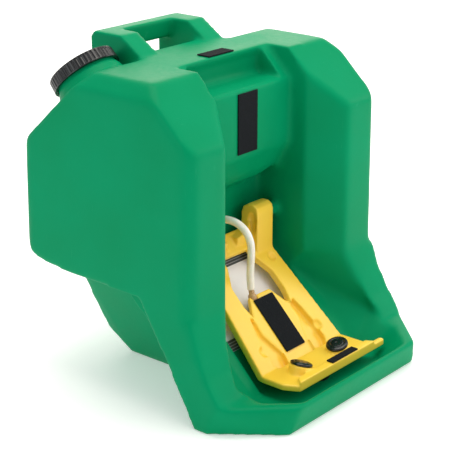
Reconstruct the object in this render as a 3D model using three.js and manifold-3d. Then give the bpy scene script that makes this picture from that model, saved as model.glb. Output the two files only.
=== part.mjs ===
// Gravity-fed eyewash station: a hollow moulded tank with two wings around a bowl,
// and a yellow spray tray that folds down over the bowl on two hinge pins.
// Millimetres, +Z up, the user stands at -Y. The origin is on the flat underside,
// in the middle of the plane of the wings' front faces.
import * as THREE from "three";
import { ConvexGeometry } from "three/addons/geometries/ConvexGeometry.js";
import { mergeVertices } from "three/addons/utils/BufferGeometryUtils.js";
import Module from "manifold-3d";

const wasm = await Module();
wasm.setup();

// ---------- driving dimensions ----------
const GAP = 0.3; // clearance between pieces that touch
const HALF_WIDTH_TOP = 252; // tank half-width at the deck
const HALF_WIDTH_BASE = 266; // tank half-width at the base, after the moulding draft
const DECK_Z = 553;
const REAR_Y = 392;
const WALL = 6; // moulded wall thickness
const WING_TOP_Y = 100; // where the wings' front chamfer leaves the deck
const WING_CORNER_Z = 457; // where it reaches the wings' front faces
const WING_FOOT_Z = 184; // where the front faces lean forward to the lip
const SIDE_FLOOR_Z = 198; // underside of the tank beside the foot
const LIP_Y = -158;
const LIP_Z = 50;
const PANEL_Y = 94; // front of the belly that the stowed tray lies against
const RECESS_HALF = 120; // half the width between the wings' inner faces
const SLOPE_OFFSET = 36; // the bowl's sloped back wall is the plane Z = Y + SLOPE_OFFSET
const BOWL_FLOOR_Z = 14;
const FOOT_REAR_Y = 338;
const HANDLE_Z = 585;
const POCKET_BACK_Y = 150; // back of the scoop under the deck's front edge
const SCOOP_HALF = 100;
const HANDLE_LEG_OUT = 108;
const HANDLE_LEG_IN = 64;
const HANDLE_REAR_Y = 357;
const BAR_DEPTH = 34;
const BAR_BOTTOM_Z = HANDLE_Z - 34;

const HINGE = new THREE.Vector3(0, 126, 253);
const TRAY_OFFSET = 80; // the tray's rails lie in the plane Z = Y + TRAY_OFFSET
const TRAY_THICK = 14;
const BEND_Y = -48; // where the sloped part of the tray meets its flat head
const TRAY_HALF_HEAD = 116;
const TRAY_HALF_TOP = 94;
const HEAD_TOP_Z = 46;
const HEAD_FRONT_Y = -106;
const TAB_BACK_Y = -94; // the pull tab passes just over the deck as the tray is stowed
const STRIP_WIDTH = 52;
const STRIP_LENGTH = 107;
const STRIP_THICK = 2.3;
const NOZZLE_X = 57;
const NOZZLE_Y = -70;
const NOZZLE_TILT = THREE.MathUtils.degToRad(18);
const BOSS_RADIUS = 21;
const BOSS_HEIGHT = 15;
const NOZZLE_BORE = 13;
const RIM_TOP_Z = 53;
const RIM_BACK_Y = -90;
const POST_IN = 46;
const POST_OUT = 92;
const POST_FRONT_Y = 106;
const POST_BACK_Y = 144;
const POST_TOP_Z = 276;
const CROSSBAR_TOP_Y = 147;
const PLATEAU_DROP = 4.7; // the plateau under the strip lies this far below the rails
const CHANNEL_DROP = 11;

const PIN_RADIUS = 5;
const PIN_END_X = 62;
const BUSH_RADIUS = 8;
const BOSS_FACE_X = 95;
const BOSS_HOLE_X = 117;

const NECK_RADIUS = 55;
const NECK_HEIGHT = 46;
const CAP_RADIUS = 62;
const CAP_HEIGHT = 21;
const TUBE_RADIUS = 6.8;
const OUTLET_RADIUS = 9.5;
const INLET_RADIUS = 7.5;
const MANIFOLD_RADIUS = 6;
const MANIFOLD_DROP = -21;
const RISER_RADIUS = 4.5;
const DRAIN_RADIUS = 15;

const LABEL_HALF = 116; // the printed film, measured up the slope from the tray's bend
const LABEL_TOP_U = 246;
const LABEL_BOTTOM_U = 84;
const HEADER_DEPTH = 21;

// ---------- solids ----------
function solid(geometry) {
  const bare = geometry.clone();
  bare.deleteAttribute("normal");
  bare.deleteAttribute("uv");
  const merged = mergeVertices(bare, 1e-3);
  return new wasm.Manifold(
    new wasm.Mesh({
      numProp: 3,
      vertProperties: merged.attributes.position.array,
      triVerts: new Uint32Array(merged.index.array),
    }),
  );
}

function geometryOf(body) {
  const mesh = body.getMesh();
  const count = mesh.numVert;
  const stride = mesh.numProp;
  const points = new Float32Array(count * 3);
  for (let i = 0; i < count; i++) {
    points.set(mesh.vertProperties.subarray(i * stride, i * stride + 3), i * 3);
  }
  const geometry = new THREE.BufferGeometry();
  geometry.setAttribute("position", new THREE.BufferAttribute(points, 3));
  geometry.setIndex(new THREE.BufferAttribute(new Uint32Array(mesh.triVerts), 1));
  return geometry;
}

function outline(points) {
  return new THREE.Shape(points.map(([a, b]) => new THREE.Vector2(a, b)));
}

function extrude(points, depth) {
  return new THREE.ExtrudeGeometry(outline(points), { depth, bevelEnabled: false });
}

const AXIS_X = new THREE.Vector3(1, 0, 0);
const AXIS_Y = new THREE.Vector3(0, 1, 0);
const AXIS_Z = new THREE.Vector3(0, 0, 1);

// An outline of [y, z] points, extruded from x0 to x1.
function prismX(points, x0, x1) {
  const turn = new THREE.Matrix4().makeBasis(AXIS_Y, AXIS_Z, AXIS_X);
  return solid(extrude(points, x1 - x0).applyMatrix4(turn).translate(x0, 0, 0));
}

// An outline of [x, z] points, extruded from y0 to y1.
function prismY(points, y0, y1) {
  const turn = new THREE.Matrix4().makeBasis(AXIS_X, AXIS_Z, AXIS_Y.clone().negate());
  return solid(extrude(points, y1 - y0).applyMatrix4(turn).translate(0, y1, 0));
}

// An outline of [x, y] points, extruded from z0 to z1.
function prismZ(points, z0, z1) {
  return solid(extrude(points, z1 - z0).translate(0, 0, z0));
}

function box(x0, x1, y0, y1, z0, z1) {
  const geometry = new THREE.BoxGeometry(x1 - x0, y1 - y0, z1 - z0);
  return solid(geometry.translate((x0 + x1) / 2, (y0 + y1) / 2, (z0 + z1) / 2));
}

function hull(points) {
  return solid(new ConvexGeometry(points.map((p) => new THREE.Vector3(...p))));
}

// Points given for +X are repeated for -X.
function bothSides(points) {
  return points.flatMap(([x, y, z]) => [[x, y, z], [-x, y, z]]);
}

// A turned solid: a closed [radius, height] profile about an axis through a point.
function turned(profile, at, axis, sides = 32) {
  const points = profile.map(([r, h]) => new THREE.Vector2(r, h));
  points.push(points[0].clone());
  const turn = new THREE.Quaternion().setFromUnitVectors(AXIS_Y, axis.clone().normalize());
  const geometry = new THREE.LatheGeometry(points, sides).applyQuaternion(turn);
  return solid(geometry.translate(at.x, at.y, at.z));
}

function disc(radius, h0, h1, at, axis, sides = 32) {
  return turned([[0, h0], [radius, h0], [radius, h1], [0, h1]], at, axis, sides);
}

function ring(inner, outer, h0, h1, at, axis, sides = 32) {
  return turned([[inner, h0], [outer, h0], [outer, h1], [inner, h1]], at, axis, sides);
}

// ---------- the tank's side profile, as [y, z] points ----------
const SIDE_PROFILE = [
  [232, DECK_Z],
  [WING_TOP_Y, DECK_Z],
  [0, WING_CORNER_Z],
  [0, WING_FOOT_Z],
  [-16, 134],
  [-36, 92],
  [-66, LIP_Z],
  [LIP_Y, LIP_Z],
  [-146, 0],
  [-12, 0],
  [110, SIDE_FLOOR_Z],
  [268, SIDE_FLOOR_Z],
  [328, 202],
  [354, 207],
  [372, 216],
  [384, 229],
  [390, 246],
  [REAR_Y, 264],
  [REAR_Y, 408],
];

// The space between the wings, as [y, z] points.
const RECESS_PROFILE = [
  [POCKET_BACK_Y - 2, 600],
  [POCKET_BACK_Y - 2, DECK_Z - 1],
  [PANEL_Y, DECK_Z - 55],
  [PANEL_Y, 390],
  [97, 380],
  [103, 371],
  [109, 360],
  [119, 340],
  [134, 322],
  [166, 304],
  [166, 166 + SLOPE_OFFSET],
  [BOWL_FLOOR_Z - SLOPE_OFFSET, BOWL_FLOOR_Z],
  [-118, BOWL_FLOOR_Z],
  [LIP_Y + 8, LIP_Z + 4],
  [-400, LIP_Z + 4],
  [-400, 600],
];

function outerHull() {
  // The draft narrows the tank towards the deck; the deck's side edges are rounded off.
  const corner = 20;
  const rows = [
    [0, HALF_WIDTH_BASE, -38],
    [LIP_Z, HALF_WIDTH_BASE - 1, -60],
    [DECK_Z - 24, HALF_WIDTH_TOP, -60],
    [DECK_Z, HALF_WIDTH_TOP - 22, -60],
  ];
  const back = REAR_Y;
  const points = rows.flatMap(([z, half, front]) => [
    [half, front, z],
    [half - 84, -146, z],
    [half - 97, LIP_Y, z],
    [half, back - corner, z],
    [half - corner, back, z],
  ]);
  return hull(bothSides(points));
}

function tankOutside() {
  const wide = HALF_WIDTH_BASE + 10;
  let body = prismX(SIDE_PROFILE, -wide, wide).intersect(outerHull());
  // The wings' front edges are rounded: a facet along each upright edge and each chamfer.
  for (const s of [-1, 1]) {
    const half = HALF_WIDTH_TOP + 8;
    const facet = [
      [s * (half + 20), -20, 130],
      [s * (half + 20), 36, 130],
      [s * (half - 32), -20, 130],
      [s * (half + 10), -20, 700],
      [s * (half + 10), 36, 700],
      [s * (half - 42), -20, 700],
    ];
    body = body.subtract(hull(facet).intersect(box(-400, 400, -40, 60, WING_FOOT_Z - 8, 700)));
  }
  return body;
}

function foot() {
  return hull(bothSides([
    [112, -60, 0],
    [112, FOOT_REAR_Y - 62, 0],
    [122, FOOT_REAR_Y - 16, 40],
    [196, FOOT_REAR_Y, SIDE_FLOOR_Z + 9],
    [196, 60, SIDE_FLOOR_Z + 4],
    [150, -60, 60],
  ]));
}

function gussets() {
  const profile = [[60, 102], [105, 215], [172, 215], [172, SIDE_FLOOR_Z]];
  return prismX(profile, -236, 236);
}

// The carry handle: two legs and a cross bar behind the deck.
function handle() {
  const leg = [
    [232, DECK_Z - 12],
    [236, DECK_Z],
    [284, HANDLE_Z],
    [HANDLE_REAR_Y - 6, HANDLE_Z],
    [HANDLE_REAR_Y, HANDLE_Z - 8],
    [HANDLE_REAR_Y, 420],
    [300, 420],
  ];
  const whole = prismX(leg, -HANDLE_LEG_OUT, HANDLE_LEG_OUT);
  const front = prismX([
    [200, DECK_Z - 200],
    [200, 700],
    [HANDLE_REAR_Y - BAR_DEPTH, 700],
    [HANDLE_REAR_Y - BAR_DEPTH, BAR_BOTTOM_Z],
    [HANDLE_REAR_Y + 40, BAR_BOTTOM_Z],
    [HANDLE_REAR_Y + 40, DECK_Z - 200],
  ], -HANDLE_LEG_IN, HANDLE_LEG_IN);
  const saddle = prismX([
    [225, 490],
    [225, DECK_Z],
    [264, DECK_Z],
    [318, 472],
  ], -HANDLE_LEG_IN - 5, HANDLE_LEG_IN + 5);
  return whole.subtract(front).add(saddle);
}

// The filler neck stands square to the rear chamfer, at its left end.
const NECK_AXIS = new THREE.Vector3(0, 129, 142).normalize();
const NECK_BASE = new THREE.Vector3(-172, 281, 499);

function along(axis, from, distance) {
  return from.clone().addScaledVector(axis, distance);
}

function neck() {
  const profile = [[0, -40], [NECK_RADIUS + 20, -40], [NECK_RADIUS + 4, 26], [NECK_RADIUS, 28],
    [NECK_RADIUS, NECK_HEIGHT], [0, NECK_HEIGHT]];
  return turned(profile, NECK_BASE, NECK_AXIS, 40);
}

function tankInside() {
  // The water space, open through the filler neck.
  const top = DECK_Z - WALL;
  const main = prismX([
    [226, top],
    [163, top],
    [163, 497],
    [PANEL_Y + WALL + 6, 488],
    [PANEL_Y + WALL, 394],
    [104, 384],
    [110, 374],
    [116, 363],
    [126, 344],
    [140, 328],
    [174, 311],
    [174, SIDE_FLOOR_Z + WALL],
    [268, SIDE_FLOOR_Z + WALL],
    [326, 210],
    [366, 224],
    [REAR_Y - WALL, 254],
    [REAR_Y - WALL, 404],
  ], -RECESS_HALF + 12, RECESS_HALF - 12);
  const side = prismX([
    [226, top],
    [WING_TOP_Y + 4, top],
    [WALL + 30, 476],
    [WALL + 30, SIDE_FLOOR_Z + 12],
    [268, SIDE_FLOOR_Z + WALL],
    [326, 210],
    [366, 224],
    [REAR_Y - WALL, 254],
    [REAR_Y - WALL, 404],
  ], -HALF_WIDTH_TOP + WALL, HALF_WIDTH_TOP - WALL);
  const notRecess = prismZ([
    [-178, -50], [-178, 0], [-RECESS_HALF - 8, 66], [-RECESS_HALF - 8, 174],
    [RECESS_HALF + 8, 174], [RECESS_HALF + 8, 66], [178, 0], [178, -50],
  ], 0, 700);
  const sideIn = HALF_WIDTH_TOP - WALL;
  const backIn = REAR_Y - WALL - 1;
  const edges = hull(bothSides([
    [sideIn, backIn - 24, 100], [sideIn - 24, backIn, 100], [sideIn, 30, 100],
    [sideIn - 2, backIn - 24, DECK_Z - 30], [sideIn - 26, backIn, DECK_Z - 30], [sideIn - 2, 30, DECK_Z - 30],
    [sideIn - 24, backIn - 24, DECK_Z], [sideIn - 48, backIn, DECK_Z], [sideIn - 24, 30, DECK_Z],
  ]));
  const base = hull(bothSides([
    [100, -24, 8],
    [100, FOOT_REAR_Y - 72, 8],
    [112, FOOT_REAR_Y - 26, 46],
    [180, FOOT_REAR_Y - 8, SIDE_FLOOR_Z + 12],
    [180, SIDE_FLOOR_Z - SLOPE_OFFSET + 10, SIDE_FLOOR_Z + 12],
  ]));
  const behind = SLOPE_OFFSET - 9;
  const behindSlope = prismX([[8 - behind, 8], [210 - behind, 210], [400, 210], [400, 8]], -200, 200);
  const throat = disc(NECK_RADIUS - WALL, -60, NECK_HEIGHT + 10, NECK_BASE, NECK_AXIS, 32);
  return main
    .subtract(bellyCorners(WALL + 3))
    .add(side.subtract(notRecess).intersect(edges))
    .add(base.intersect(behindSlope))
    .add(throat);
}

function recess() {
  const between = prismX(RECESS_PROFILE, -RECESS_HALF, RECESS_HALF);
  const flare = prismZ([
    [-168, -0.5], [-168, -300], [168, -300], [168, -0.5],
    [RECESS_HALF, 60], [-RECESS_HALF, 60],
  ], WING_FOOT_Z - 20, 700);
  const bowl = hull(bothSides([
    [166, -2, WING_FOOT_Z],
    [RECESS_HALF, 60, WING_FOOT_Z],
    [RECESS_HALF, 92, 150],
    [152, LIP_Y + 8, LIP_Z + 1],
    [202, -95, LIP_Z + 1],
    [204, -34, LIP_Z + 16],
    [150, 40, 96],
    [118, -116, BOWL_FLOOR_Z],
    [150, -76, BOWL_FLOOR_Z],
    [142, -40, BOWL_FLOOR_Z + 2],
  ]));
  return between.add(flare).add(bowl);
}

// The stowed head's nozzle caps dip into a scoop below the deck's front edge.
function scoop() {
  return prismX([
    [POCKET_BACK_Y - 2, DECK_Z + 20],
    [POCKET_BACK_Y - 2, DECK_Z - 8],
    [POCKET_BACK_Y + 4, DECK_Z - 17],
    [POCKET_BACK_Y + 4, 512],
    [144, 503],
    [PANEL_Y + 6, 503],
    [PANEL_Y + 2, 506],
    [PANEL_Y - 4, DECK_Z + 20],
  ], -SCOOP_HALF, SCOOP_HALF);
}

// The belly's lower corners are cut away above the hinge posts. The water space keeps a wall off them.
function bellyCorners(grow = 0) {
  const corner = [
    [RECESS_HALF, 338 + grow], [RECESS_HALF, 250], [76 - grow, 250], [76 - grow, 312 + grow],
  ];
  const left = corner.map(([x, z]) => [-x, z]).reverse();
  return prismY(corner, PANEL_Y - 10, 166 + grow).add(prismY(left, PANEL_Y - 10, 166 + grow));
}

// ---------- fittings through the tank's walls ----------
const OUTLET = new THREE.Vector3(-30, 166, 268);
const DRAIN = new THREE.Vector3(0, -66, BOWL_FLOOR_Z);
const TOWARDS_USER = new THREE.Vector3(0, -1, 0);

// Two round bosses on the recess walls hold the hinge bushes.
function hingeBosses() {
  let bosses = disc(12, BOSS_FACE_X, RECESS_HALF + 2, HINGE, AXIS_X, 24)
    .add(disc(12, -RECESS_HALF - 2, -BOSS_FACE_X, HINGE, AXIS_X, 24));
  for (const s of [-1, 1]) {
    const from = s > 0 ? BOSS_FACE_X - 5 : -BOSS_HOLE_X;
    const to = s > 0 ? BOSS_HOLE_X : -BOSS_FACE_X + 5;
    bosses = bosses.subtract(disc(BUSH_RADIUS + GAP, from, to, HINGE, AXIS_X, 24));
  }
  return bosses;
}

function tankBody() {
  const holes = disc(OUTLET_RADIUS + GAP, -20, 20, OUTLET, TOWARDS_USER, 24)
    .add(disc(DRAIN_RADIUS + GAP, -30, 10, DRAIN, AXIS_Z, 24));
  return tankOutside()
    .add(foot())
    .add(gussets())
    .subtract(recess())
    .subtract(bellyCorners())
    .subtract(scoop())
    .add(neck())
    .add(handle())
    .add(hingeBosses())
    .subtract(tankInside())
    .subtract(holes);
}

// ---------- the spray tray ----------
// The sloped part is drawn flat, with u up the slope from the bend, then tilted to 45 degrees.
const SLOPE = Math.SQRT1_2;
const BEND = new THREE.Vector3(0, BEND_Y, BEND_Y + TRAY_OFFSET);
const UP_SLOPE = new THREE.Vector3(0, SLOPE, SLOPE);
const OFF_SLOPE = new THREE.Vector3(0, -SLOPE, SLOPE);
const SLOPE_FRAME = new THREE.Matrix4().makeBasis(AXIS_X, UP_SLOPE, OFF_SLOPE).setPosition(BEND);

// An outline of [x, u] points on the slope, between two heights off the rails' top plane.
function onSlope(points, h0, h1) {
  return solid(extrude(points, h1 - h0).translate(0, 0, h0).applyMatrix4(SLOPE_FRAME));
}

function mirrored(points) {
  return points.map(([x, u]) => [-x, u]).reverse();
}

function slopePoint(x, u, h) {
  return new THREE.Vector3(x, u, h).applyMatrix4(SLOPE_FRAME);
}

const uOf = (y) => (y - BEND_Y) * Math.SQRT2;

function trayWindow() {
  const right = [
    [28, uOf(60)], [51, uOf(33)], [57, uOf(52)], [56, uOf(80)], [38, uOf(104)], [38, uOf(118)],
  ];
  return [...right, ...mirrored(right)];
}

function trayPosts() {
  const side = [
    [POST_FRONT_Y, 170],
    [POST_FRONT_Y, POST_TOP_Z - 14],
    [POST_FRONT_Y + 3, POST_TOP_Z - 5],
    [POST_FRONT_Y + 11, POST_TOP_Z],
    [POST_BACK_Y - 14, POST_TOP_Z],
    [POST_BACK_Y - 4, POST_TOP_Z - 5],
    [POST_BACK_Y, POST_TOP_Z - 15],
    [POST_BACK_Y, 206],
    [POST_BACK_Y - 26, 176],
  ];
  const hollow = turned([[0, 218], [7, 224], [10, 234], [10, 250], [7, 259], [0, 263]],
    new THREE.Vector3(POST_IN - 3, POST_FRONT_Y + 13, 0), AXIS_Z, 20);
  const post = prismX(side, POST_IN, POST_OUT).subtract(hollow);
  return post.add(post.mirror([1, 0, 0]));
}

// The crossbar joins the posts, with a curved web up each post's inner side.
function crossbar() {
  const web = new THREE.Shape();
  web.moveTo(POST_IN + 1, 242);
  web.lineTo(POST_IN + 1, 205);
  web.lineTo(12, 208);
  web.lineTo(12, 221);
  web.quadraticCurveTo(POST_IN - 6, 223, POST_IN, 242);
  const turn = new THREE.Matrix4().makeBasis(AXIS_X, AXIS_Z, AXIS_Y.clone().negate());
  const depth = POST_BACK_Y - 124;
  const flat = new THREE.ExtrudeGeometry(web, { depth, bevelEnabled: false, curveSegments: 8 });
  const right = solid(flat.applyMatrix4(turn).translate(0, POST_BACK_Y, 0));
  return onSlope([
    [-TRAY_HALF_TOP + 2, uOf(117)], [TRAY_HALF_TOP - 2, uOf(117)],
    [TRAY_HALF_TOP - 2, uOf(CROSSBAR_TOP_Y)], [-TRAY_HALF_TOP + 2, uOf(CROSSBAR_TOP_Y)],
  ], -TRAY_THICK, 0).add(right).add(right.mirror([1, 0, 0]));
}

const DIMPLES = [
  [76, uOf(96)], [-76, uOf(96)], [77, uOf(-9)], [-77, uOf(-9)],
];
const nozzleAxis = (s) => new THREE.Vector3(-s * Math.sin(NOZZLE_TILT), 0, Math.cos(NOZZLE_TILT));
const nozzleFoot = (s) => new THREE.Vector3(s * NOZZLE_X, NOZZLE_Y, HEAD_TOP_Z - 4);
const INLET = new THREE.Vector3(-17, 65, 128.5);
const INLET_AXIS = new THREE.Vector3(0, 0.2, 0.98).normalize();

function sprayTray() {
  const sheet = onSlope([
    [-TRAY_HALF_HEAD, -8], [TRAY_HALF_HEAD, -8],
    [TRAY_HALF_HEAD, 6], [TRAY_HALF_TOP, uOf(104)], [TRAY_HALF_TOP - 2, uOf(138)],
    [-TRAY_HALF_TOP + 2, uOf(138)], [-TRAY_HALF_TOP, uOf(104)], [-TRAY_HALF_HEAD, 6],
  ], -TRAY_THICK, 0);
  const channel = [
    [52, uOf(30)], [54, uOf(11)], [37, uOf(-19)], [41, uOf(-36)], [66, uOf(-38)], [74, uOf(-28)],
    [72, uOf(-2)], [66, uOf(20)], [60, uOf(36)],
  ];
  const plateauRight = [[33, uOf(-44)], [37, uOf(-19)], [54, uOf(11)], [52, uOf(33)], [28, uOf(63)]];
  const plateau = [...plateauRight, ...mirrored(plateauRight)];
  const head = prismZ([
    [-TRAY_HALF_HEAD, BEND_Y + 12], [-TRAY_HALF_HEAD, -80], [-102, HEAD_FRONT_Y],
    [146, HEAD_FRONT_Y], [150, HEAD_FRONT_Y + 4], [150, HEAD_FRONT_Y + 9], [147, TAB_BACK_Y],
    [TRAY_HALF_HEAD + 3, TAB_BACK_Y], [TRAY_HALF_HEAD, TAB_BACK_Y + 10],
    [TRAY_HALF_HEAD, BEND_Y + 12],
  ], HEAD_TOP_Z - 12, HEAD_TOP_Z);
  let tray = sheet
    .subtract(onSlope(trayWindow(), -40, 40))
    .subtract(onSlope(channel, -CHANNEL_DROP, 20))
    .subtract(onSlope(mirrored(channel), -CHANNEL_DROP, 20))
    .subtract(onSlope(plateau, -PLATEAU_DROP, 20))
    .add(crossbar())
    .add(trayPosts())
    .subtract(disc(PIN_RADIUS + 0.4, PIN_END_X - 1, 200, HINGE, AXIS_X, 24))
    .subtract(disc(PIN_RADIUS + 0.4, -200, 1 - PIN_END_X, HINGE, AXIS_X, 24))
    .subtract(box(-200, 200, -300, BEND_Y, -50, 200))
    .subtract(box(-200, 200, -300, 100, -50, HEAD_TOP_Z - 12))
    .add(head)
    .add(prismZ([[-88, RIM_BACK_Y], [-102, HEAD_FRONT_Y], [118, HEAD_FRONT_Y], [108, RIM_BACK_Y]],
      HEAD_TOP_Z - 1, RIM_TOP_Z));
  for (const s of [-1, 1]) {
    tray = tray
      .add(disc(BOSS_RADIUS, -4, BOSS_HEIGHT, nozzleFoot(s), nozzleAxis(s), 32))
      .subtract(disc(NOZZLE_BORE, 2, 40, nozzleFoot(s), nozzleAxis(s), 24))
      .subtract(disc(RISER_RADIUS + GAP, -30, 4, nozzleFoot(s), nozzleAxis(s), 16));
  }
  for (const [x, u] of DIMPLES) {
    const bowl = [[0, -6], [5, -5], [8.5, -2.5], [10, 0.5], [10, 20], [0, 20]];
    tray = tray.subtract(turned(bowl, slopePoint(x, u, 0), OFF_SLOPE, 20));
  }
  return tray.subtract(disc(INLET_RADIUS + 0.6, -40, 14, INLET, INLET_AXIS, 20));
}

// ---------- water path on the tray ----------
function manifold() {
  const start = slopePoint(INLET.x, uOf(50), MANIFOLD_DROP);
  const end = slopePoint(0, 14, MANIFOLD_DROP);
  const run = end.clone().sub(start);
  let pipes = disc(MANIFOLD_RADIUS, -4, run.length(), start, run, 16)
    .add(disc(5, -1, 12, along(INLET_AXIS, INLET, -14.5), INLET_AXIS, 16));
  for (const s of [-1, 1]) {
    const foot = along(nozzleAxis(s), nozzleFoot(s), -18);
    const branch = foot.clone().sub(end);
    pipes = pipes
      .add(disc(MANIFOLD_RADIUS - 0.5, -2, branch.length() + 3, end, branch, 16))
      .add(disc(RISER_RADIUS, -3, 19.6, foot, nozzleAxis(s), 16));
  }
  return pipes;
}

function nozzle(s) {
  return turned([[3, 2.4], [12.6, 2.4], [12.6, 14], [10, 16.2], [3, 16.2]], nozzleFoot(s), nozzleAxis(s), 24);
}

function nozzleCap(s) {
  const profile = [[0, 16.7], [13, 16.7], [13, 15.4], [19.5, 15.4], [19.5, 19.6], [17.6, 21.4], [0, 22.2]];
  return turned(profile, nozzleFoot(s), nozzleAxis(s), 28);
}

function inletFitting() {
  return turned([[2.5, -2], [INLET_RADIUS, -2], [INLET_RADIUS, 8], [5.2, 11], [5.2, 19], [2.5, 19]],
    INLET, INLET_AXIS, 20);
}

// The soft supply tube, from the tank outlet over the crossbar to the tray inlet.
const TUBE_ROUTE = [
  [-30, 135.5, 268], [-30, 127, 268.8], [-30, 117, 270.6], [-29.8, 107, 271],
  [-29, 97, 269.8], [-27.8, 88, 266.5], [-26, 79.5, 260.5], [-24, 73, 252],
  [-21.8, 69, 241], [-19.8, 67.6, 229], [-18.4, 68.2, 215], [-17.5, 69.6, 201],
  [-17, 70.8, 187], [-17, 71.2, 173], [-17, 70.4, 160], [-17, 68.9, 147.6],
];

function supplyTube() {
  const curve = new THREE.CatmullRomCurve3(TUBE_ROUTE.map((p) => new THREE.Vector3(...p)));
  const section = new THREE.Shape();
  section.absarc(0, 0, TUBE_RADIUS, 0, Math.PI * 2);
  return solid(new THREE.ExtrudeGeometry(section, {
    steps: 20,
    curveSegments: 5,
    bevelEnabled: false,
    extrudePath: curve,
  }));
}

function outletFitting() {
  return turned([
    [3.5, -20], [OUTLET_RADIUS, -20], [OUTLET_RADIUS, 2 + 2 * GAP], [17, 2 + 2 * GAP], [17, 7],
    [12, 9], [12, 14], [5, 16], [5, 29.6], [3.5, 29.6],
  ], OUTLET, TOWARDS_USER, 24);
}

function hingePin(s) {
  const at = HINGE.clone();
  const out = s > 0 ? AXIS_X : AXIS_X.clone().negate();
  return disc(PIN_RADIUS, PIN_END_X, BOSS_HOLE_X - 1, at, out, 20);
}

function hingeBush(s) {
  const out = s > 0 ? AXIS_X : AXIS_X.clone().negate();
  return ring(PIN_RADIUS + GAP, BUSH_RADIUS, BOSS_FACE_X - 1.5, BOSS_HOLE_X - 0.5, HINGE, out, 20);
}

// ---------- hook-and-loop strips and the printed panel ----------
function strip(x0, x1, y0, y1, z) {
  return box(x0, x1, y0, y1, z + GAP, z + GAP + STRIP_THICK);
}

const half = STRIP_WIDTH / 2;
const stripTop = uOf(54);
const panelTop = 497;
const labelHeight = (SLOPE_OFFSET - TRAY_OFFSET) * SLOPE + GAP;

// A band across the printed film, between two distances up the slope.
function film(u0, u1) {
  return onSlope([[-LABEL_HALF, u0], [LABEL_HALF, u0], [LABEL_HALF, u1], [-LABEL_HALF, u1]],
    labelHeight, labelHeight + 1.2);
}

// ---------- filler cap ----------
function fillCap() {
  return turned([
    [0, NECK_HEIGHT + 2.9], [CAP_RADIUS - 5.5, NECK_HEIGHT + 2.9],
    [CAP_RADIUS - 5.5, NECK_HEIGHT + 7 - CAP_HEIGHT], [CAP_RADIUS, NECK_HEIGHT + 7 - CAP_HEIGHT],
    [CAP_RADIUS, NECK_HEIGHT + 5], [CAP_RADIUS - 2, NECK_HEIGHT + 7], [0, NECK_HEIGHT + 7],
  ], NECK_BASE, NECK_AXIS, 40);
}

// ---------- assembly ----------
const COLOURS = {
  green: { color: 0x00915c, roughness: 0.45 },
  yellow: { color: 0xfdda5a, roughness: 0.4 },
  black: { color: 0x1b2024, roughness: 0.35 },
  hook: { color: 0x19202a, roughness: 0.95 },
  rubber: { color: 0x2a2a2c, roughness: 0.8 },
  white: { color: 0xf2eef2, roughness: 0.6 },
  header: { color: 0x4a4f55, roughness: 0.6 },
  silicone: { color: 0xe6dacd, roughness: 0.3 },
  amber: { color: 0xe0b070, roughness: 0.35 },
  grey: { color: 0x9aa0a4, roughness: 0.5 },
  steel: { color: 0xc2c4c6, roughness: 0.3, metalness: 1 },
};

const group = new THREE.Group();

function piece(name, body, finish) {
  const mesh = new THREE.Mesh(geometryOf(body), new THREE.MeshStandardMaterial(COLOURS[finish]));
  mesh.name = name;
  mesh.geometry.computeVertexNormals();
  group.add(mesh);
}

piece("tank_body", tankBody(), "green");
piece("fill_cap", fillCap(), "black");
piece("cap_gasket", ring(50, 54.4, NECK_HEIGHT + GAP, NECK_HEIGHT + 2.6, NECK_BASE, NECK_AXIS, 40), "rubber");
piece("deck_strip", strip(-33, 33, POCKET_BACK_Y + 1, POCKET_BACK_Y + 28, DECK_Z), "hook");
piece("panel_strip", box(-half, half, PANEL_Y - GAP - STRIP_THICK, PANEL_Y - GAP,
  panelTop - STRIP_LENGTH, panelTop), "hook");
piece("tray_strip", onSlope([
  [-half, stripTop - STRIP_LENGTH], [half, stripTop - STRIP_LENGTH], [half, stripTop], [-half, stripTop],
], -PLATEAU_DROP + GAP, -PLATEAU_DROP + GAP + STRIP_THICK), "hook");
piece("ledge_strip", strip(-8, 66, HEAD_FRONT_Y + 1, RIM_BACK_Y - 1, RIM_TOP_Z), "hook");
piece("spray_tray", sprayTray(), "yellow");
piece("spray_manifold", manifold(), "grey");
piece("tray_inlet_fitting", inletFitting(), "amber");
for (const [side, s] of [["left", -1], ["right", 1]]) {
  piece("nozzle_" + side, nozzle(s), "grey");
  piece("nozzle_cap_" + side, nozzleCap(s), "black");
  piece("hinge_pin_" + side, hingePin(s), "steel");
  piece("hinge_bush_" + side, hingeBush(s), "black");
}
piece("instruction_panel", film(LABEL_BOTTOM_U + HEADER_DEPTH, LABEL_TOP_U - HEADER_DEPTH), "white");
piece("panel_header", film(LABEL_TOP_U - HEADER_DEPTH + GAP, LABEL_TOP_U), "header");
piece("panel_footer", film(LABEL_BOTTOM_U, LABEL_BOTTOM_U + HEADER_DEPTH - GAP), "header");
piece("supply_tube", supplyTube(), "silicone");
piece("tank_outlet_fitting", outletFitting(), "grey");
piece("outlet_gasket", ring(OUTLET_RADIUS + GAP, 17, GAP, 2 + GAP, OUTLET, TOWARDS_USER, 24), "rubber");
piece("outlet_nut", disc(17, -18, -8.4, OUTLET, TOWARDS_USER, 6)
  .subtract(disc(OUTLET_RADIUS + GAP, -30, 0, OUTLET, TOWARDS_USER, 24)), "grey");
piece("drain_plug", disc(DRAIN_RADIUS, -11, 2.2, DRAIN, AXIS_Z, 24)
  .add(disc(22, 2, 5.5, DRAIN, AXIS_Z, 24)), "black");
piece("drain_seal", ring(DRAIN_RADIUS + GAP, 21, GAP, 1.7, DRAIN, AXIS_Z, 24), "rubber");

export default group;
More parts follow.
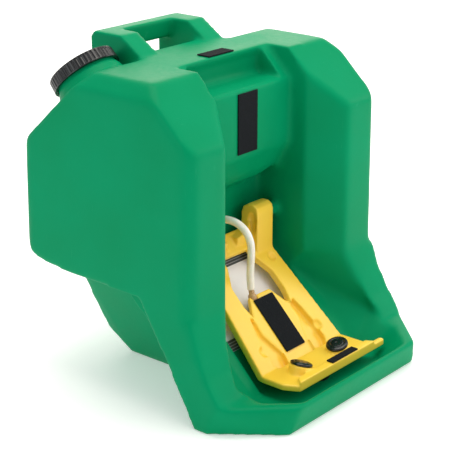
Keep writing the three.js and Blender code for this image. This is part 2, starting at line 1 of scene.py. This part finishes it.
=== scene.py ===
"""Looks for a portable gravity-fed eyewash station: a green moulded tank and its yellow spray tray.

Metres, +Z up, -Y towards the person using it. The camera and the supply tube come first, then the
materials, the tank, the tray, the small parts, the floor and the lights.
"""

import math

import bmesh
import bpy
import numpy as np
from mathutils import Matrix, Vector


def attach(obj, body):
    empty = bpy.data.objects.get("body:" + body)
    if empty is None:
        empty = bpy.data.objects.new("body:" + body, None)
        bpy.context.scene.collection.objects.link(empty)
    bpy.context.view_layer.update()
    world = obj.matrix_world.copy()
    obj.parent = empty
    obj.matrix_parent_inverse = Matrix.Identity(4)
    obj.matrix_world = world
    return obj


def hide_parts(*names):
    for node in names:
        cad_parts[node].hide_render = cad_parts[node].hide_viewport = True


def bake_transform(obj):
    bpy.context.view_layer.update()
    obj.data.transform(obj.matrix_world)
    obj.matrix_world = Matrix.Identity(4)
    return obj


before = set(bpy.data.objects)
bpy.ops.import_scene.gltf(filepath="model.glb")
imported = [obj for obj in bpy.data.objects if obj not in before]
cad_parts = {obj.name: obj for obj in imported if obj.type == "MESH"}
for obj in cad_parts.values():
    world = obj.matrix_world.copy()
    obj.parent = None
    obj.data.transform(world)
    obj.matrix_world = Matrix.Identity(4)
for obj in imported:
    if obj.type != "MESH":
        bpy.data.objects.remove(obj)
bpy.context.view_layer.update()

# ---------- places and sizes ----------
DECK_Z = 0.553                            # the tank's flat top
NECK_BASE = Vector((-0.172, 0.281, 0.499))
NECK_AXIS = Vector((0, 129, 142)).normalized()
NECK_HEIGHT = 0.046
CAP_RADIUS = 0.062
CAP_HEIGHT = 0.021
CAP_GRIPS = 44
CAP_RISE = 0.007                          # how far the cap's top stands above the neck
CAP_WALL = 0.0052
GRIP_DEPTH = 0.0013
NOZZLE_TILT = math.radians(18)
NOZZLE_FOOT = Vector((0.057, -0.070, 0.042))
BEND = Vector((0, -0.048, 0.032))         # where the tray's head meets its slope
OUTLET = Vector((-0.03, 0.166, 0.268))
DRAIN = Vector((0, -0.066, 0.014))

TANK_VOXEL, TANK_ROUNDS = 0.004, 45       # grid and smoothing of each rebuilt skin
TRAY_VOXEL, TRAY_ROUNDS = 0.0016, 14
TAPE_VOXEL = 0.0008
LOOP_HEIGHT, LOOP_LIMIT = 0.00012, 0.00025
EDGE, THIN_EDGE = 0.0004, 0.0002          # bevels on small parts and on films and seals
FLOOR_HALF = 30
FLOOR_Z = -0.0005

CAMERA_PLACE = Vector((-1.774, -1.344, 1.078))
CAMERA_LOOK = Vector((0.72111, 0.60459, -0.33832))
CAMERA_LENS = 110.7

TUBE_RADIUS = 0.0068
TUBE_SIDES = 20
TUBE_SPAN_STEPS = 6
TUBE_ROUTE = [
    (-0.03, 0.1355, 0.268), (-0.03, 0.127, 0.2688), (-0.03, 0.117, 0.2706), (-0.0298, 0.107, 0.271),
    (-0.029, 0.097, 0.2698), (-0.0278, 0.088, 0.2665), (-0.026, 0.0795, 0.2605), (-0.024, 0.073, 0.252),
    (-0.0218, 0.069, 0.241), (-0.0198, 0.0676, 0.229), (-0.0184, 0.0682, 0.215), (-0.0175, 0.0696, 0.201),
    (-0.017, 0.0708, 0.187), (-0.017, 0.0712, 0.173), (-0.017, 0.0704, 0.16), (-0.017, 0.0689, 0.1476),
]


# ---------- camera ----------
def make_camera():
    data = bpy.data.cameras.new("camera")
    data.sensor_width = 36
    data.lens = CAMERA_LENS
    camera = bpy.data.objects.new("camera", data)
    camera.location = CAMERA_PLACE
    camera.rotation_euler = CAMERA_LOOK.to_track_quat("-Z", "Y").to_euler()
    bpy.context.scene.collection.objects.link(camera)
    bpy.context.scene.camera = camera


# ---------- mesh helpers ----------
def add_object(name, mesh):
    obj = bpy.data.objects.new(name, mesh)
    bpy.context.scene.collection.objects.link(obj)
    return obj


def mesh_object(name, verts, faces):
    mesh = bpy.data.meshes.new(name)
    mesh.from_pydata([tuple(v) for v in verts], [], faces)
    mesh.shade_smooth()
    return add_object(name, mesh)


def copy_of(node, name):
    """A new object with a copy of a CAD node's mesh."""
    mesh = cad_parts[node].data.copy()
    mesh.name = name
    mesh.materials.clear()
    return add_object(name, mesh)


def apply_modifiers(obj):
    graph = bpy.context.evaluated_depsgraph_get()
    done = bpy.data.meshes.new_from_object(obj.evaluated_get(graph))
    obj.modifiers.clear()
    obj.data = done
    return obj


def remesh(obj, voxel):
    """Rebuilds a closed mesh as an even skin, leaving out what lies inside it."""
    modifier = obj.modifiers.new("remesh", "REMESH")
    modifier.mode = "VOXEL"
    modifier.voxel_size = voxel
    modifier.use_smooth_shade = True
    return apply_modifiers(obj)


def points_of(obj):
    co = np.empty(len(obj.data.vertices) * 3)
    obj.data.vertices.foreach_get("co", co)
    return co.reshape(-1, 3)


def soften(obj, rounds, weights):
    """Rounds a mesh's edges, by a share for each point."""
    group = obj.vertex_groups.new(name="soft")
    steps = np.round(weights * 20).astype(int)
    for step in np.unique(steps):
        group.add(np.flatnonzero(steps == step).tolist(), step / 20, "REPLACE")
    modifier = obj.modifiers.new("soften", "SMOOTH")
    modifier.factor = 0.5
    modifier.iterations = rounds
    modifier.vertex_group = "soft"
    apply_modifiers(obj)
    obj.vertex_groups.clear()
    return obj


def lathe(profile, at, axis, sides, grips=None):
    """Vertices and faces of a turned solid: closed (radius, height) profile about an axis.
    grips is an optional function of (radius, height, angle) that gives the radius."""
    turn = axis.to_track_quat("Z", "Y").to_matrix()
    verts, faces = [], []
    rows = len(profile)
    for i in range(sides):
        angle = 2 * math.pi * i / sides
        for radius, height in profile:
            r = grips(radius, height, angle) if grips else radius
            verts.append(at + turn @ Vector((r * math.cos(angle), r * math.sin(angle), height)))
    for i in range(sides):
        j = (i + 1) % sides
        for k in range(rows - 1):
            a, b = i * rows + k, i * rows + k + 1
            c, d = j * rows + k + 1, j * rows + k
            faces.append((a, d, c, b))
    return verts, faces


def turned(name, profile, at, axis, sides=64, grips=None):
    verts, faces = lathe(profile, at, axis, sides, grips)
    obj = mesh_object(name, verts, faces)
    work = bmesh.new()
    work.from_mesh(obj.data)
    bmesh.ops.remove_doubles(work, verts=work.verts, dist=1e-6)
    bmesh.ops.recalc_face_normals(work, faces=work.faces)
    work.to_mesh(obj.data)
    work.free()
    obj.data.shade_smooth()
    return obj


def rounded(points, radius, steps=4):
    """A profile with its inner corners turned into short arcs."""
    out = [points[0]]
    for before, here, after in zip(points, points[1:], points[2:]):
        p, q, r = Vector(before), Vector(here), Vector(after)
        cut = min(radius, (p - q).length / 2, (r - q).length / 2)
        a, b = q + (p - q).normalized() * cut, q + (r - q).normalized() * cut
        for i in range(steps + 1):
            t = i / steps
            out.append(tuple((1 - t) ** 2 * a + 2 * t * (1 - t) * q + t * t * b))
    out.append(points[-1])
    return out


# ---------- the supply tube ----------
def smooth_route(points, per_span):
    """Points along a Catmull-Rom curve through a route."""
    route = [Vector(p) for p in points]
    ends = [2 * route[0] - route[1], *route, 2 * route[-1] - route[-2]]
    out = []
    for a, b, c, d in zip(ends, ends[1:], ends[2:], ends[3:]):
        for i in range(per_span):
            t = i / per_span
            out.append(0.5 * (2 * b + (c - a) * t + (2 * a - 5 * b + 4 * c - d) * t ** 2
                              + (3 * b - a - 3 * c + d) * t ** 3))
    return out + [route[-1]]


def tube_mesh(name, line, radius, sides):
    verts, faces = [], []
    side = Vector((1, 0, 0))
    for i, here in enumerate(line):
        ahead = (line[min(i + 1, len(line) - 1)] - line[max(i - 1, 0)]).normalized()
        side = (side - ahead * side.dot(ahead)).normalized()
        other = ahead.cross(side)
        for k in range(sides):
            a = 2 * math.pi * k / sides
            verts.append(here + radius * (math.cos(a) * side + math.sin(a) * other))
    for i in range(len(line) - 1):
        for k in range(sides):
            a, b = i * sides + k, i * sides + (k + 1) % sides
            faces.append((a, b, b + sides, a + sides))
    faces.append(tuple(reversed(range(sides))))
    faces.append(tuple(range((len(line) - 1) * sides, len(line) * sides)))
    return mesh_object(name, verts, faces)


def make_tube(material):
    line = smooth_route(TUBE_ROUTE, TUBE_SPAN_STEPS)
    tube = tube_mesh("supply_hose", line, TUBE_RADIUS, TUBE_SIDES)
    tube.data.materials.append(material)
    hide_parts("supply_tube")
    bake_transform(tube)


# ---------- materials ----------
class Nodes:
    """Short calls for building a node material."""

    def __init__(self, name):
        self.material = bpy.data.materials.new(name)
        self.material.use_nodes = True
        self.tree = self.material.node_tree
        self.shader = self.tree.nodes["Principled BSDF"]
        self.place = self.add("ShaderNodeTexCoord").outputs["Object"]

    def add(self, kind, **values):
        node = self.tree.nodes.new(kind)
        for key, value in values.items():
            setattr(node, key, value)
        return node

    def join(self, source, target):
        self.tree.links.new(source, target)

    def noise(self, scale, detail=3.0, stretch=(1, 1, 1)):
        mapping = self.add("ShaderNodeMapping")
        mapping.inputs["Scale"].default_value = stretch
        self.join(self.place, mapping.inputs["Vector"])
        node = self.add("ShaderNodeTexNoise")
        node.inputs["Scale"].default_value = scale
        node.inputs["Detail"].default_value = detail
        self.join(mapping.outputs[0], node.inputs["Vector"])
        return node.outputs["Fac"]

    def ramp(self, value, stops):
        node = self.add("ShaderNodeValToRGB")
        for i, (at, colour) in enumerate(stops):
            stop = node.color_ramp.elements[i] if i < 2 else node.color_ramp.elements.new(at)
            stop.position = at
            stop.color = (*colour, 1) if len(colour) == 3 else colour
        self.join(value, node.inputs["Fac"])
        return node.outputs["Color"]

    def scale_to(self, value, low, high, from_low=0.3, from_high=0.7):
        node = self.add("ShaderNodeMapRange")
        node.inputs["From Min"].default_value = from_low
        node.inputs["From Max"].default_value = from_high
        node.inputs["To Min"].default_value = low
        node.inputs["To Max"].default_value = high
        self.join(value, node.inputs["Value"])
        return node.outputs["Result"]

    def mix(self, factor, first, second):
        node = self.add("ShaderNodeMix", data_type="RGBA")
        for source, at in ((factor, 0), (first, 6), (second, 7)):
            socket = node.inputs[at]
            if isinstance(source, (tuple, list)):
                socket.default_value = (*source, 1)
            elif isinstance(source, float):
                socket.default_value = source
            else:
                self.join(source, socket)
        return node.outputs[2]

    def math(self, operation, *values):
        node = self.add("ShaderNodeMath", operation=operation)
        for value, socket in zip(values, node.inputs):
            if isinstance(value, (int, float)):
                socket.default_value = value
            else:
                self.join(value, socket)
        return node.outputs[0]

    def bump(self, height, strength, distance, after=None):
        node = self.add("ShaderNodeBump")
        node.inputs["Strength"].default_value = strength
        node.inputs["Distance"].default_value = distance
        self.join(height, node.inputs["Height"])
        if after is not None:
            self.join(after, node.inputs["Normal"])
        return node.outputs["Normal"]

    def finish(self, colour=None, roughness=None, normal=None, **fixed):
        if colour is not None:
            self.join(colour, self.shader.inputs["Base Color"])
        if roughness is not None:
            self.join(roughness, self.shader.inputs["Roughness"])
        if normal is not None:
            self.join(normal, self.shader.inputs["Normal"])
        for key, value in fixed.items():
            self.shader.inputs[key.replace("_", " ")].default_value = value
        return self.material


def moulded_plastic(name, deep, body, pale, rough, grain=0.00012, scuffs=0.35, **fixed):
    """Moulded plastic: slow colour drift, orange peel, fine pits and long light scuffs."""
    n = Nodes(name)
    drift = n.noise(7, 4)
    fine = n.noise(160, 2)
    colour = n.ramp(drift, [(0.3, deep), (0.7, body)])
    scratches = n.scale_to(n.noise(60, 5, (1, 9, 0.6)), 0.0, scuffs, 0.66, 0.8)
    colour = n.mix(scratches, colour, pale)
    roughness = n.math("ADD", n.scale_to(drift, rough - 0.05, rough + 0.05),
                       n.scale_to(fine, -0.02, 0.04))
    roughness = n.math("ADD", roughness, n.math("MULTIPLY", scratches, 0.35))
    peel = n.bump(n.noise(90, 2), 0.35, grain * 3)
    pits = n.bump(n.noise(900, 2), 0.3, grain, peel)
    return n.finish(colour, roughness, pits, **fixed)


def green_plastic():
    return moulded_plastic("tank_green", (0.0, 0.258, 0.102), (0.0, 0.282, 0.120),
                           (0.03, 0.35, 0.18), 0.4, Specular_IOR_Level=0.05)


def yellow_plastic():
    return moulded_plastic("tray_yellow", (0.97, 0.60, 0.045), (1.0, 0.68, 0.07),
                           (1.0, 0.80, 0.35), 0.36, scuffs=0.25, Specular_IOR_Level=0.4)


def black_plastic():
    return moulded_plastic("cap_black", (0.003, 0.004, 0.005), (0.007, 0.008, 0.010),
                           (0.04, 0.04, 0.05), 0.2, grain=0.00006)


def dark_rubber():
    return moulded_plastic("rubber_black", (0.014, 0.014, 0.014), (0.024, 0.024, 0.025),
                           (0.07, 0.07, 0.07), 0.7)


def grey_plastic():
    return moulded_plastic("pipe_grey", (0.25, 0.27, 0.29), (0.34, 0.36, 0.38),
                           (0.5, 0.52, 0.54), 0.4)


def amber_plastic():
    return moulded_plastic("fitting_amber", (0.62, 0.36, 0.14), (0.76, 0.48, 0.22),
                           (0.9, 0.75, 0.5), 0.25, Transmission_Weight=0.25)


def brushed_steel():
    n = Nodes("pin_steel")
    lines = n.noise(220, 3, (0.15, 1, 1))
    colour = n.ramp(lines, [(0.35, (0.42, 0.43, 0.44)), (0.65, (0.62, 0.63, 0.64))])
    return n.finish(colour, n.scale_to(lines, 0.22, 0.42), n.bump(lines, 0.4, 0.0001), Metallic=1.0)


def tape_loops():
    """Hook-and-loop tape: a matt pile of small loops, with paler fluff caught in it."""
    n = Nodes("hook_loop")
    loops = n.noise(620, 3)
    tufts = n.noise(240, 4)
    colour = n.ramp(loops, [(0.32, (0.002, 0.003, 0.004)), (0.68, (0.010, 0.012, 0.016))])
    colour = n.mix(n.scale_to(tufts, 0.0, 0.4, 0.62, 0.8), colour, (0.035, 0.038, 0.048))
    normal = n.bump(tufts, 0.5, 0.0005, n.bump(loops, 0.8, 0.0005))
    return n.finish(colour, n.scale_to(loops, 0.8, 1.0), normal, Specular_IOR_Level=0.2)


def clear_tube():
    n = Nodes("tube_clear")
    cloud = n.noise(60, 3)
    colour = n.ramp(cloud, [(0.3, (0.88, 0.80, 0.71)), (0.7, (0.95, 0.90, 0.84))])
    normal = n.bump(n.noise(120, 2), 0.1, 0.0001)
    return n.finish(colour, n.scale_to(cloud, 0.18, 0.28), normal, IOR=1.42, Subsurface_Weight=0.4,
                    Subsurface_Radius=(0.01, 0.008, 0.006), Subsurface_Scale=0.6)


def up_slope(n):
    """Distance up the tank's slope from the tray's bend, as a node value."""
    split = n.add("ShaderNodeSeparateXYZ")
    n.join(n.place, split.inputs[0])
    total = n.math("ADD", split.outputs["Y"], split.outputs["Z"])
    return n.math("MULTIPLY", n.math("SUBTRACT", total, BEND.y + BEND.z), math.sqrt(0.5))


def stripes(n, value, pitch, share):
    """1 on the lines of an even set of stripes."""
    return n.math("LESS_THAN", n.math("FRACT", n.math("DIVIDE", value, pitch)), share)


def plain_film():
    """White film with a faint haze, and no print."""
    n = Nodes("panel_white")
    haze = n.noise(30, 3)
    colour = n.ramp(haze, [(0.3, (0.93, 0.91, 0.94)), (0.7, (0.98, 0.96, 0.98))])
    normal = n.bump(n.noise(500, 2), 0.15, 0.00005)
    return n.finish(colour, n.scale_to(haze, 0.42, 0.56), normal)


def banded_film():
    """Dark film with pale stripes across it, and no lettering."""
    n = Nodes("panel_dark")
    haze = n.noise(30, 3)
    field = n.ramp(haze, [(0.3, (0.055, 0.065, 0.07)), (0.7, (0.085, 0.095, 0.10))])
    lines = n.math("MULTIPLY", stripes(n, up_slope(n), 0.0052, 0.3), 0.85)
    colour = n.mix(lines, field, (0.40, 0.42, 0.44))
    normal = n.bump(n.noise(500, 2), 0.15, 0.00005)
    return n.finish(colour, n.scale_to(haze, 0.42, 0.56), normal)


# ---------- the tank ----------
def band(values, low, high):
    return (values > low) & (values < high)


def tank_softness(co):
    """Wide roundings on the wings, tighter ones on the handle and scoop, and none round fittings."""
    sharp, crisp, firm, light, general, corner, wide = 0.05, 0.1, 0.15, 0.3, 0.6, 0.8, 0.9
    x, y, z = np.abs(co[:, 0]), co[:, 1], co[:, 2]
    soft = np.full(len(co), general)
    # the wings' front edges, the rear lower corners and the gussets under the sides
    soft[(x > 0.13) & (y < 0.13) & (z > 0.12)] = wide
    soft[(x > 0.13) & (y > 0.30) & (z < 0.30)] = corner
    soft[(x > 0.12) & band(y, 0.055, 0.18) & band(z, 0.09, 0.225)] = sharp
    # the foot, the lip and the lip's underside
    soft[(z < 0.12) & (y > -0.05)] = light
    soft[(z < 0.09) & (y < -0.05)] = general
    soft[(z < 0.02) & (y < 0.02)] = crisp
    # the scoop, the deck's right front corner, and the handle with its saddle
    soft[(x < 0.13) & band(y, 0.08, 0.2) & (z > 0.47)] = crisp
    soft[band(co[:, 0], 0.11, 0.162) & band(y, 0.08, 0.154) & (z > DECK_Z - 0.012)] = crisp
    soft[(x < 0.118) & (y > 0.22) & (z > DECK_Z - 0.01)] = firm
    soft[(x < 0.118) & (y > 0.30) & (z > 0.43)] = firm
    # the neck's rim, the hinge bosses, the drain and the outlet
    off = co - np.array(NECK_BASE)
    height = off @ np.array(NECK_AXIS)
    radius = np.linalg.norm(off - np.outer(height, np.array(NECK_AXIS)), axis=1)
    soft[(radius < 0.066) & (height > 0.018)] = crisp
    soft[(x > 0.085) & band(y, 0.105, 0.147) & band(z, 0.23, 0.276)] = sharp
    for fitting in (DRAIN, OUTLET):
        soft[np.linalg.norm(co - np.array(fitting), axis=1) < 0.03] = sharp
    return soft


def join_meshes(obj, others):
    work = bmesh.new()
    work.from_mesh(obj.data)
    for other in others:
        work.from_mesh(other.data)
        bpy.data.objects.remove(other)
    work.to_mesh(obj.data)
    work.free()


def make_tank(material):
    tank = copy_of("tank_body", "moulded_tank")
    # plugs close the tank's three openings, so that the remesh leaves out the hollow inside
    plugs = [
        turned("plug_" + name, [(0, low), (radius, low), (radius, high), (0, high)], place, axis)
        for name, radius, low, high, place, axis in (
            ("neck", 0.052, 0.02, 0.046, NECK_BASE, NECK_AXIS),
            ("outlet", 0.012, -0.004, -0.001, OUTLET, Vector((0, -1, 0))),
            ("drain", 0.018, -0.012, -0.002, DRAIN, Vector((0, 0, 1))))]
    join_meshes(tank, plugs)
    remesh(tank, TANK_VOXEL)
    soften(tank, TANK_ROUNDS, tank_softness(points_of(tank)))
    tank.data.shade_smooth()
    tank.data.materials.append(material)
    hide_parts("tank_body")
    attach(tank, "tank")


# ---------- the tray ----------
def make_tray(material):
    tray = copy_of("spray_tray", "moulded_tray")
    remesh(tray, TRAY_VOXEL)
    soften(tray, TRAY_ROUNDS, np.ones(len(tray.data.vertices)))
    tray.data.shade_smooth()
    tray.data.materials.append(material)
    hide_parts("spray_tray")
    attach(tray, "tray")


# ---------- caps ----------
def make_filler_cap(material):
    top = NECK_HEIGHT + CAP_RISE
    skirt = top - CAP_HEIGHT
    profile = rounded([
        (0, top - 0.0022), (CAP_RADIUS - 0.014, top - 0.0022), (CAP_RADIUS - 0.012, top),
        (CAP_RADIUS - 0.0012, top), (CAP_RADIUS - 0.0002, skirt + 0.0026), (CAP_RADIUS, skirt + 0.0022),
        (CAP_RADIUS, skirt), (CAP_RADIUS - CAP_WALL, skirt), (CAP_RADIUS - CAP_WALL, top - 0.0042),
        (0, top - 0.0042),
    ], 0.0009)

    def grips(radius, height, angle):
        if radius < CAP_RADIUS - 0.002 or height < skirt + 0.0024:
            return radius
        wave = math.cos(CAP_GRIPS * angle)
        share = min(1, max(0, (top - 0.0008 - height) / 0.0012))
        return radius - GRIP_DEPTH * share * (0.5 - 0.5 * math.tanh(3 * (wave + 0.55)))

    fine = []
    for a, b in zip(profile, profile[1:]):
        fine += [a] if abs(a[1] - b[1]) < 0.006 else [
            (a[0] + (b[0] - a[0]) * i / 8, a[1] + (b[1] - a[1]) * i / 8) for i in range(8)]
    fine.append(profile[-1])
    cap = turned("screw_cap", fine, NECK_BASE, NECK_AXIS, CAP_GRIPS * 10, grips)
    cap.data.materials.append(material)
    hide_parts("fill_cap")
    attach(cap, "cap")


def make_nozzle_cap(side, sign, material):
    foot = Vector((sign * NOZZLE_FOOT.x, NOZZLE_FOOT.y, NOZZLE_FOOT.z))
    axis = Vector((-sign * math.sin(NOZZLE_TILT), 0, math.cos(NOZZLE_TILT)))
    profile = rounded([
        (0, 0.0205), (0.0016, 0.0205), (0.0022, 0.0214), (0.0105, 0.0211), (0.0116, 0.0200),
        (0.0130, 0.0199), (0.0142, 0.0208), (0.0176, 0.0200), (0.0195, 0.0186), (0.0195, 0.0156),
        (0.0130, 0.0156), (0.0130, 0.0168), (0, 0.0168),
    ], 0.0005)
    cap = turned("dust_cap_" + side, profile, foot, axis, 72)
    cap.data.materials.append(material)
    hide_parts("nozzle_cap_" + side)
    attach(cap, side + "_nozzle_cap")


# ---------- tape strips ----------
def make_tape(node, body, material, seed):
    """Tape with a pile of small loops standing on its surface."""
    tape = copy_of(node, "tape_" + node)
    remesh(tape, TAPE_VOXEL)
    co = points_of(tape)
    normals = np.empty(len(co) * 3)
    tape.data.vertices.foreach_get("normal", normals)
    lift = np.random.default_rng(seed).normal(0, LOOP_HEIGHT, len(co))
    co += normals.reshape(-1, 3) * np.clip(lift, -LOOP_LIMIT, LOOP_LIMIT)[:, None]
    tape.data.vertices.foreach_set("co", co.ravel())
    tape.data.shade_smooth()
    tape.data.materials.append(material)
    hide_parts(node)
    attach(tape, body)


# ---------- small parts kept from the frame ----------
def dress(node, material, edge=EDGE):
    """Gives a frame node a material and softly bevelled edges."""
    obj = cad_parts[node]
    obj.data.materials.clear()
    obj.data.materials.append(material)
    modifier = obj.modifiers.new("edge", "BEVEL")
    modifier.width = edge
    modifier.segments = 2
    modifier.limit_method = "ANGLE"
    modifier.angle_limit = math.radians(35)


# ---------- stage ----------
def make_floor():
    n = Nodes("floor")
    tone = n.ramp(n.noise(3, 3), [(0.3, (0.96, 0.96, 0.96)), (0.7, (0.98, 0.98, 0.98))])
    n.finish(tone, Roughness=0.7, Emission_Color=(1, 1, 1, 1), Emission_Strength=0.28)
    corners = ((-1, -1), (1, -1), (1, 1), (-1, 1))
    floor = mesh_object("floor", [(x * FLOOR_HALF, y * FLOOR_HALF, FLOOR_Z) for x, y in corners],
                        [(0, 1, 2, 3)])
    floor.data.materials.append(n.material)


def area_light(name, place, target, size, watts, colour):
    data = bpy.data.lights.new(name, "AREA")
    data.shape = "RECTANGLE"
    data.size, data.size_y = size
    data.energy = watts
    data.color = colour
    light = bpy.data.objects.new(name, data)
    light.location = place
    light.rotation_euler = (Vector(target) - Vector(place)).to_track_quat("-Z", "Y").to_euler()
    bpy.context.scene.collection.objects.link(light)


def make_light():
    world = bpy.data.worlds.new("studio")
    world.use_nodes = True
    background = world.node_tree.nodes["Background"]
    background.inputs["Color"].default_value = (1, 1, 1, 1)
    background.inputs["Strength"].default_value = 0.55
    bpy.context.scene.world = world
    middle = (0, 0.1, 0.25)
    area_light("overhead", (0.2, 0.2, 2.6), middle, (2.2, 1.6), 42, (1.0, 0.96, 0.88))
    area_light("back_card", (2.6, 2.3, 1.5), middle, (3.2, 1.6), 38, (1.0, 0.98, 0.86))
    area_light("front", (0.5, -2.3, 1.3), middle, (1.4, 1.2), 11, (1.0, 0.98, 0.95))
    area_light("right_side", (2.2, -1.2, 1.5), middle, (0.9, 1.6), 18, (1.0, 0.98, 0.95))
    area_light("left_fill", (-2.4, 0.3, 1.2), middle, (1.4, 1.4), 9, (0.95, 1.0, 1.0))
    bpy.context.scene.view_settings.view_transform = "Standard"


# ---------- the object ----------
make_camera()
make_tube(clear_tube())

GREEN, YELLOW, BLACK = green_plastic(), yellow_plastic(), black_plastic()
RUBBER, GREY, STEEL, TAPE = dark_rubber(), grey_plastic(), brushed_steel(), tape_loops()

make_tank(GREEN)
make_tray(YELLOW)
make_filler_cap(BLACK)
for side, sign in (("left", -1), ("right", 1)):
    make_nozzle_cap(side, sign, BLACK)
    dress("nozzle_" + side, GREY)
    dress("hinge_pin_" + side, STEEL)
    dress("hinge_bush_" + side, BLACK)
TAPE_BODIES = {"deck_strip": "tank", "panel_strip": "tank", "tray_strip": "tray", "ledge_strip": "tray"}
for seed, (node, body) in enumerate(TAPE_BODIES.items()):
    make_tape(node, body, TAPE, seed)
dress("instruction_panel", plain_film(), THIN_EDGE)
BANDED = banded_film()
dress("panel_header", BANDED, THIN_EDGE)
dress("panel_footer", BANDED, THIN_EDGE)
dress("spray_manifold", GREY)
dress("tray_inlet_fitting", amber_plastic())
dress("tank_outlet_fitting", GREY)
dress("outlet_nut", GREY)
for node in ("cap_gasket", "outlet_gasket", "drain_seal"):
    dress(node, RUBBER, THIN_EDGE)
dress("drain_plug", BLACK)

make_floor()
make_light()
